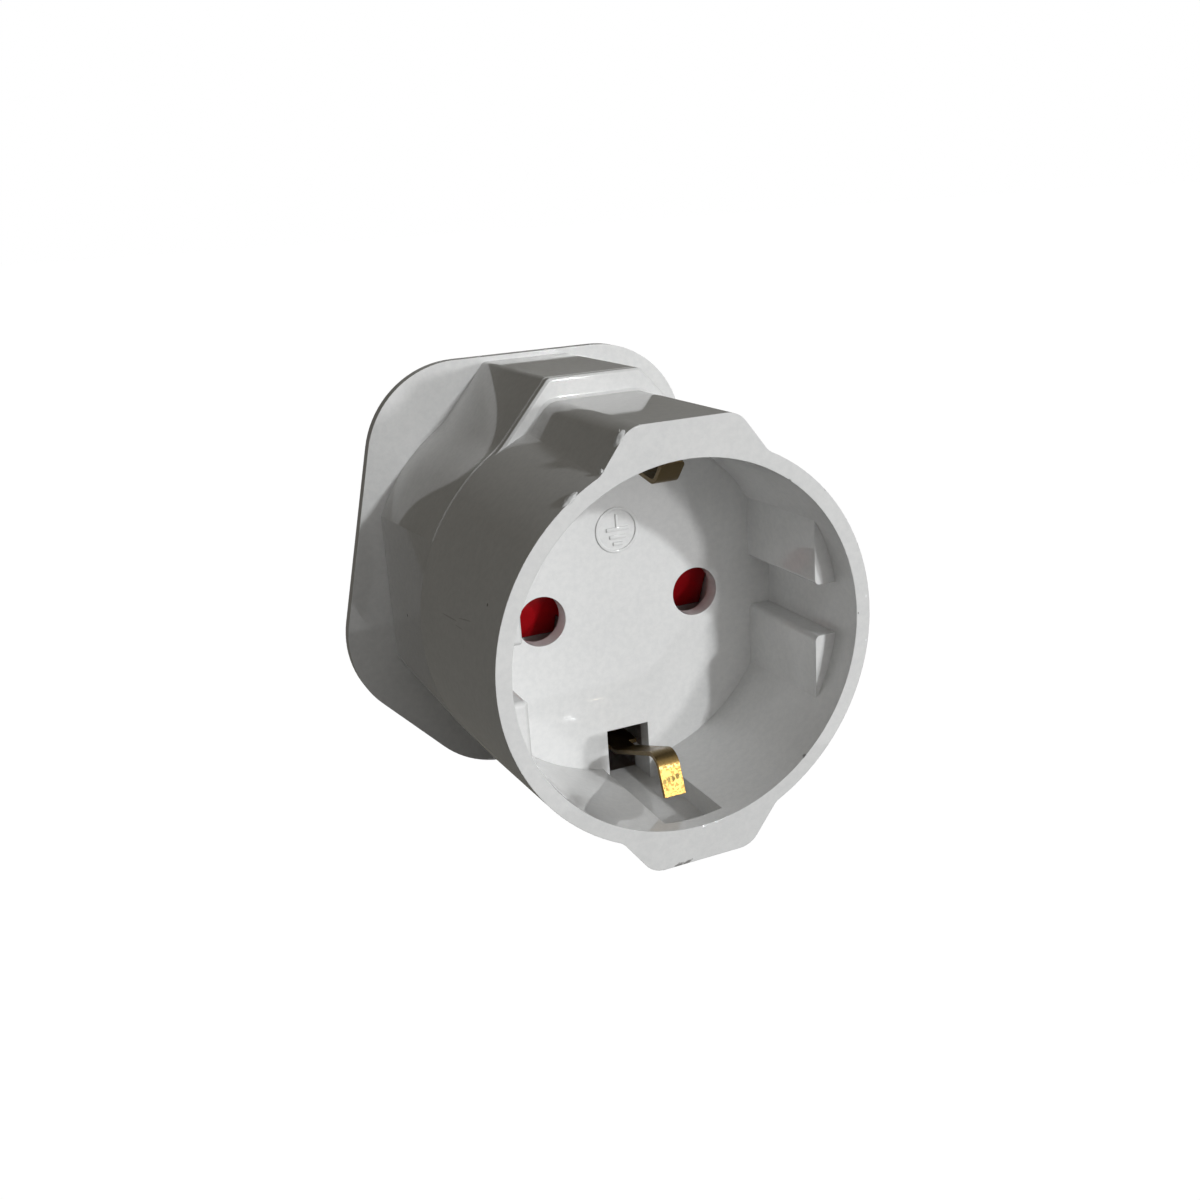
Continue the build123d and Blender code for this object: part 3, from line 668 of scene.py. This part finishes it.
@dataclass
class EarthSign:
    """Raised earth sign on the floor of the recess."""

    bench: Bench
    centre: Triple = (0.1, 17.5, 8.85)
    radius: float = 2.42
    line: float = 0.34
    rise: float = 0.18
    sunk: float = 0.05
    ring_sides: int = 72
    ring_edge: float = 0.054
    bar_edge: float = 0.063
    bars: tuple[tuple[float, float, float, float], ...] = (
        (0.0, 1.0, 0.26, 1.6),
        (0.1, 0.1, 2.75, 0.42),
        (0.05, -0.78, 1.95, 0.42),
        (0.05, -1.56, 1.2, 0.4),
    )

    def build(self) -> None:
        """Builds the ring and the bars."""
        self._ring()
        for index, (across, height, width, tall) in enumerate(self.bars):
            self._bar(index, across, height, width, tall)

    def _ring(self) -> None:
        """Builds the round line from a disc that is inset, opened and thickened."""
        self.bench.clear()
        middle = at(self.centre[0], self.centre[1] - self.rise, self.centre[2])
        bpy.ops.mesh.primitive_circle_add(
            vertices=self.ring_sides, radius=(self.radius + self.line / 2) * MM, fill_type="NGON",
            location=middle, rotation=(math.pi / 2, 0, 0))
        ring = bpy.context.object
        bpy.ops.object.mode_set(mode="EDIT")
        bpy.ops.mesh.inset(thickness=self.line * MM)
        bpy.ops.mesh.delete(type="FACE")
        bpy.ops.object.mode_set(mode="OBJECT")
        self.bench.modify(ring, "SOLIDIFY", thickness=(self.rise + self.sunk) * MM, offset=-1.0)
        self.bench.modify(ring, "BEVEL", width=self.ring_edge * MM, segments=2,
                          limit_method="ANGLE")
        self.bench.finish(ring, "earth_sign_ring", Part.CASE, "shell_plastic", FRONT_WHITE)

    def _bar(self, index: int, across: float, height: float, width: float, tall: float) -> None:
        """Builds one bar of the sign.

        Args:
            index: number of the bar.
            across: middle, to the right of the sign's centre.
            height: middle, above the sign's centre.
            width: size across.
            tall: size upwards.
        """
        self.bench.clear()
        lift = (self.rise - self.sunk) / 2
        bpy.ops.mesh.primitive_cube_add(
            size=1.0,
            location=at(self.centre[0] + across, self.centre[1] - lift, self.centre[2] + height),
            scale=(width * MM, (self.rise + self.sunk) * MM, tall * MM))
        bar = bpy.context.object
        bpy.ops.object.transform_apply(location=False, rotation=False, scale=True)
        self.bench.modify(bar, "BEVEL", width=self.bar_edge * MM, segments=2,
                          limit_method="ANGLE")
        self.bench.finish(bar, f"earth_sign_bar_{index + 1}", Part.CASE, "shell_plastic",
                          FRONT_WHITE)


@dataclass
class ShutterSpring:
    """Round wire coil over the shutter."""

    bench: Bench
    node: str = "shutter_spring"
    joint: str = "shutter_slide"
    radius: float = 1.05
    wire: float = 0.2
    wire_sides: int = 8
    turns: int = 4
    turn_steps: int = 24

    def build(self) -> None:
        """Builds the coil in place of its node."""
        low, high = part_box(self.node)
        height = high[2] - low[2]
        travel = next(j for j in frame["joints"] if j["name"] == self.joint)["range_m"][1]
        self.bench.clear()
        bpy.ops.mesh.primitive_circle_add(
            vertices=self.wire_sides, radius=self.wire * MM, location=(self.radius * MM, 0, 0),
            rotation=(math.pi / 2, 0, 0))
        coil = bpy.context.object
        bpy.ops.object.transform_apply(location=True, rotation=True, scale=True)
        self.bench.modify(coil, "SCREW", axis="Z", angle=2 * math.pi, iterations=self.turns,
                          steps=self.turn_steps, render_steps=self.turn_steps,
                          screw_offset=(height - 2 * self.wire * MM) / self.turns)
        bpy.ops.object.mode_set(mode="EDIT")
        bpy.ops.mesh.select_all(action="SELECT")
        bpy.ops.mesh.fill_holes(sides=self.wire_sides)
        bpy.ops.mesh.select_all(action="SELECT")
        bpy.ops.mesh.normals_make_consistent(inside=False)
        bpy.ops.object.mode_set(mode="OBJECT")
        middle = (low[1] + high[1]) / 2
        coil.location = (0.0, middle, low[2] + self.wire * MM)
        self.bench.finish(coil, "shutter_spring_coil", Part.CASE, "steel", ZINC_STEEL)
        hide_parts(self.node)
        1 - travel / height
        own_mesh(coil)


@dataclass(frozen=True)
class Lump:
    """Pushed-out plastic at a knocked place of the rim."""

    name: str
    place: Triple
    size: Triple
    turn: float
    seed: int
    ragged: float


@dataclass
class KnockedEdges:
    """Plastic that knocks have pushed out along the outer edge of the rim."""

    bench: Bench
    lumps: tuple[Lump, ...] = (
        Lump("lobe_flash", (-6.68, 0.6, 22.15), (0.42, 0.6, 1.05), -28.0, 3, 0.2),
        Lump("lobe_burr_1", (-7.4, 0.35, 21.0), (0.2, 0.32, 0.34), -28.0, 5, 0.3),
        Lump("lobe_burr_2", (-8.85, 0.3, 19.5), (0.18, 0.28, 0.26), -20.0, 8, 0.3),
        Lump("ring_bruise", (-12.15, 0.5, 17.22), (0.36, 0.55, 1.1), -52.0, 11, 0.2),
    )
    evenness: float = 0.3
    outward: float = 0.6
    smoothing: float = 0.6

    def build(self) -> None:
        """Builds every lump from a ball that is squeezed, roughened and turned."""
        for lump in self.lumps:
            self.bench.clear()
            bpy.ops.mesh.primitive_ico_sphere_add(subdivisions=4, radius=MM)
            piece = bpy.context.object
            bpy.ops.object.mode_set(mode="EDIT")
            bpy.ops.mesh.select_all(action="SELECT")
            bpy.ops.transform.resize(value=lump.size)
            bpy.ops.transform.vertex_random(
                offset=lump.ragged * min(lump.size) * MM, uniform=self.evenness,
                normal=self.outward, seed=lump.seed)
            bpy.ops.mesh.vertices_smooth(factor=self.smoothing, repeat=2)
            bpy.ops.object.mode_set(mode="OBJECT")
            turn = Matrix.Rotation(math.radians(-lump.turn), 4, "Y")
            piece.matrix_world = Matrix.Translation(at(*lump.place)) @ turn
            self.bench.finish(piece, lump.name, Part.CASE, "shell_plastic", FLASH_WHITE)


@dataclass
class Stage:
    """Floor, surroundings, glowing gloss cards that paint a dim reflection, lamps and camera."""

    floor_size: float = 8.0
    floor_tone: float = 0.4
    floor_glow: float = 1.09
    floor_glow_share: float = 0.92
    key_direction: Triple = (0.361, -0.853, 0.371)
    key_strength: float = 1.15
    key_spread: float = 3.0
    key_colour: Triple = (0.97, 0.99, 1.0)
    side_direction: Triple = (0.385, -0.92, 0.06)
    side_strength: float = 0.72
    side_spread: float = 5.0
    fill_place: Triple = (0.15, -1.0, 0.15)
    fill_aim: Triple = (0.15, -1.0, 0.12)
    fill_size: float = 0.8
    fill_power: float = 2.7
    ambient: float = 0.1
    ambient_colour: Triple = (1.0, 0.94, 0.83)
    cards: tuple[tuple[str, Triple, Triple, tuple[float, float]], ...] = (
        ("gloss_card_back", (0.0, 0.5, 0.05), (math.pi / 2, 0.0, 0.0), (1.8, 1.2)),
        ("gloss_card_low", (0.05, 0.225, 0.0006), (0.0, 0.0, 0.0), (1.4, 0.56)),
    )
    # glow of the cards: a painted dim reflection for the gloss, from cards that are no lamps
    card_glow: Triple = (0.12, 0.115, 0.10)
    rear_direction: Triple = (0.3, 0.95, 0.03)
    rear_strength: float = 1.9
    rear_spread: float = 18.0
    camera_place: Triple = (-0.054908, -0.137690, 0.069763)
    camera_right: Triple = (0.90901777, -0.41210737, -0.06208228)
    camera_up: Triple = (0.17898498, 0.25151295, 0.95116014)
    camera_back: Triple = (-0.37636561, -0.87573327, 0.30239077)
    camera_lens: float = 37.569

    def _rays(self, tree: Any) -> Level:
        """Mask of the rays that see the white surroundings.

        Args:
            tree: node tree that gets the nodes.

        Returns:
            Level that is 1 for camera, glossy and transmission rays.
        """
        path = tree.nodes.new("ShaderNodeLightPath")
        return (Level(tree, path.outputs["Is Camera Ray"])
                | Level(tree, path.outputs["Is Glossy Ray"])
                | Level(tree, path.outputs["Is Transmission Ray"]))

    def build_floor(self) -> None:
        """Pale floor that looks white and keeps a faint shadow."""
        bpy.ops.mesh.primitive_plane_add(size=self.floor_size, location=(0, 0, 0))
        floor = bpy.context.object
        floor.name = "floor"
        recipe = Recipe("floor_white")
        tone = (self.floor_tone, self.floor_tone, self.floor_tone, 1)
        matt = recipe.node("ShaderNodeBsdfDiffuse", inputs={"Color": tone})
        glow = recipe.node(
            "ShaderNodeEmission", inputs={"Color": (1, 1, 1, 1), "Strength": self.floor_glow})
        blend = recipe.node(
            "ShaderNodeMixShader",
            inputs={0: self._rays(recipe.tree) * self.floor_glow_share,
                    1: matt.outputs[0], 2: glow.outputs[0]},
        )
        recipe.tree.links.new(blend.outputs[0], recipe.output.inputs["Surface"])
        floor.data.materials.append(recipe.material)

    def build_cards(self) -> None:
        """Dim glowing cards behind and below the adapter that only its gloss sees: a painted dim
        reflection, from cards that are no lamps and cast no shadow.
        """
        recipe = Recipe("painted_reflection_card")
        glow = recipe.node("ShaderNodeEmission", inputs={"Color": (*self.card_glow, 1)})
        recipe.tree.links.new(glow.outputs[0], recipe.output.inputs["Surface"])
        for name, place, turn, size in self.cards:
            bpy.ops.mesh.primitive_plane_add(size=1.0, location=place, rotation=turn)
            card = bpy.context.object
            card.name = name
            card.scale = (*size, 1.0)
            card.data.materials.append(recipe.material)
            card.visible_camera = False
            card.visible_diffuse = False
            card.visible_shadow = False
            card.visible_transmission = False

    def build_world(self) -> None:
        """Dim even surroundings that the camera and the gloss see as white."""
        world = bpy.data.worlds.new("surroundings")
        world.use_nodes = True
        tree = world.node_tree
        tree.nodes.clear()
        dim = tree.nodes.new("ShaderNodeBackground")
        dim.inputs["Color"].default_value = (*self.ambient_colour, 1)
        dim.inputs["Strength"].default_value = self.ambient
        white = tree.nodes.new("ShaderNodeBackground")
        white.inputs["Color"].default_value = (1, 1, 1, 1)
        white.inputs["Strength"].default_value = 1.0
        blend = tree.nodes.new("ShaderNodeMixShader")
        output = tree.nodes.new("ShaderNodeOutputWorld")
        tree.links.new(self._rays(tree).socket, blend.inputs[0])
        tree.links.new(dim.outputs[0], blend.inputs[1])
        tree.links.new(white.outputs[0], blend.inputs[2])
        tree.links.new(blend.outputs[0], output.inputs["Surface"])
        bpy.context.scene.world = world

    def _far_lamp(self, direction: Triple, strength: float, spread: float,
                  colour: Triple = (1.0, 1.0, 1.0)) -> None:
        """Adds one far lamp.

        Args:
            direction: where it stands, seen from the adapter.
            strength: its strength.
            spread: how wide it looks, in degrees.
            colour: its colour.
        """
        bpy.ops.object.light_add(type="SUN", location=direction)
        lamp = bpy.context.object
        lamp.data.energy = strength
        lamp.data.color = colour
        lamp.data.angle = math.radians(spread)
        lamp.rotation_euler = Vector(direction).to_track_quat("Z", "Y").to_euler()

    def build_lamps(self) -> None:
        """Two lamps from the right, a wide one in front and one for the wall side."""
        self._far_lamp(self.key_direction, self.key_strength, self.key_spread, self.key_colour)
        self._far_lamp(self.side_direction, self.side_strength, self.side_spread)
        self._far_lamp(self.rear_direction, self.rear_strength, self.rear_spread)
        bpy.ops.object.light_add(type="AREA", location=self.fill_place)
        fill = bpy.context.object
        fill.data.shape = "SQUARE"
        fill.data.size = self.fill_size
        fill.data.energy = self.fill_power
        fill.rotation_euler = Vector(self.fill_aim).to_track_quat("Z", "Y").to_euler()

    def build_camera(self) -> None:
        """Camera at the place that fits the photo."""
        bpy.ops.object.camera_add()
        camera = bpy.context.object
        turn = Matrix((self.camera_right, self.camera_up, self.camera_back)).transposed()
        camera.matrix_world = Matrix.Translation(self.camera_place) @ turn.to_4x4()
        camera.data.sensor_width = 36.0
        camera.data.sensor_fit = "HORIZONTAL"
        camera.data.lens = self.camera_lens
        camera.data.clip_start = 0.005
        bpy.context.scene.camera = camera

    def build(self) -> None:
        """Builds the whole stage."""
        self.build_floor()
        self.build_cards()
        self.build_world()
        self.build_lamps()
        self.build_camera()
        bpy.context.scene.view_settings.view_transform = "Standard"
        LOG.info("built the stage")


def main() -> None:
    """Builds and dresses every piece in order."""
    logging.basicConfig(level=logging.INFO, format="%(message)s")
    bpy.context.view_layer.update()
    bpy.ops.object.select_all(action="DESELECT")
    finishes = Finishes()
    finishes.dress_nodes()
    bench = Bench(finishes)
    EarthSign(bench).build()
    KnockedEdges(bench).build()
    ShutterSpring(bench).build()
    Stage().build()


if __name__ == "__main__":
    main()
